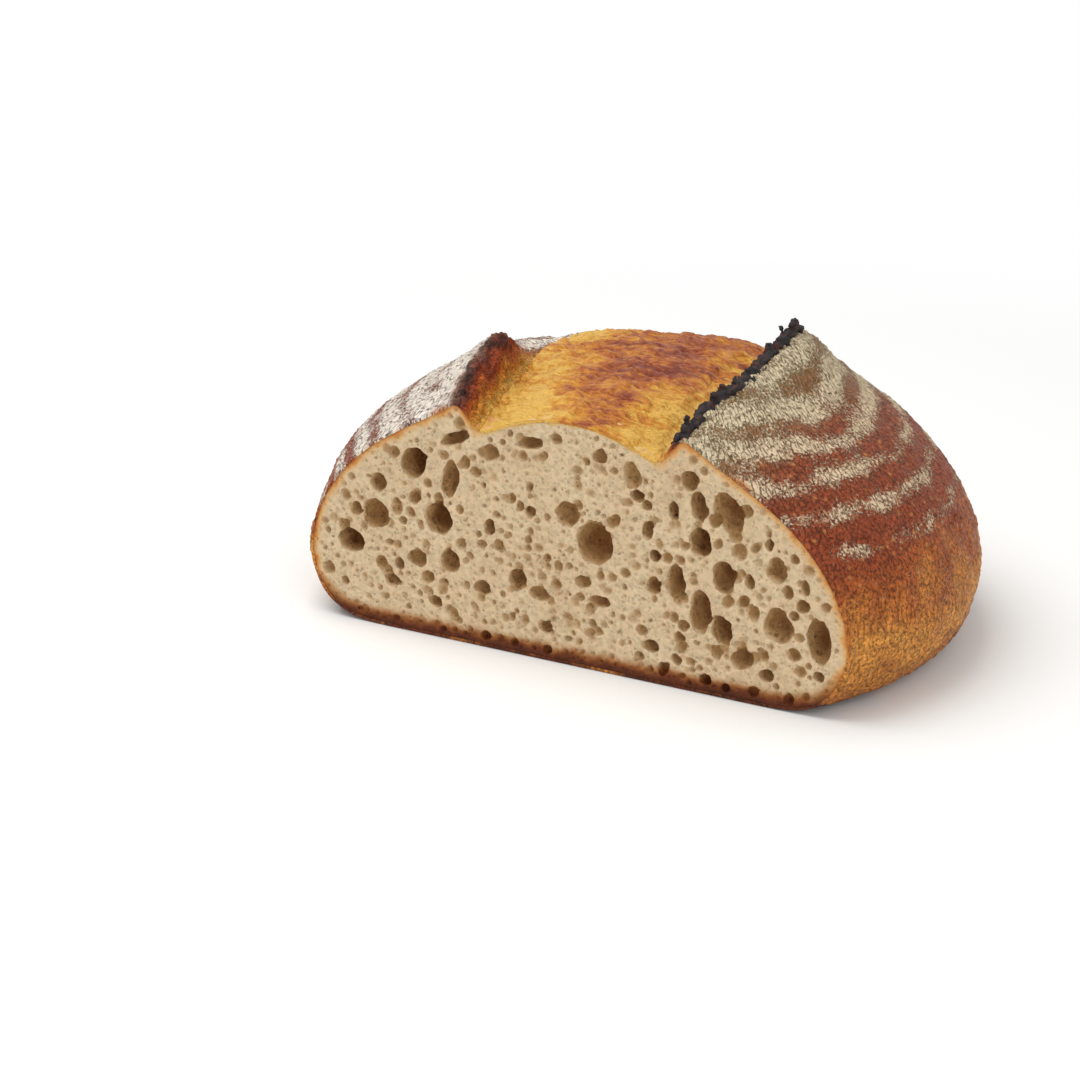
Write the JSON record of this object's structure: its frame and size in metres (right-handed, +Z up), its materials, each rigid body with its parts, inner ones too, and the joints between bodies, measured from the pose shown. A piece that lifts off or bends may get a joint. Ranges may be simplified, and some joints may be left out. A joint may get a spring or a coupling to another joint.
{
  "type": "sourdough loaf",
  "caption": "Round sourdough loaf with slices cut off: open bubbly crumb on the flat cut face, floured crust, deep score with raised ears, flat base to stand on.",
  "frame": {"origin": "middle of the bounding box of the loaf at its base, on the surface it stands on", "axes": "+X across the loaf, along the width of the cut face; the cut face looks along -Y and the rounded back along +Y; +Z up"},
  "size_m": [0.242, 0.1758, 0.1074],
  "materials": {
    "crust": "matt baked crust, lightly floured",
    "crumb": "matt open crumb"
  },
  "bodies": {
    "root": {"loaf": "crust"}
  },
  "joints": []
}
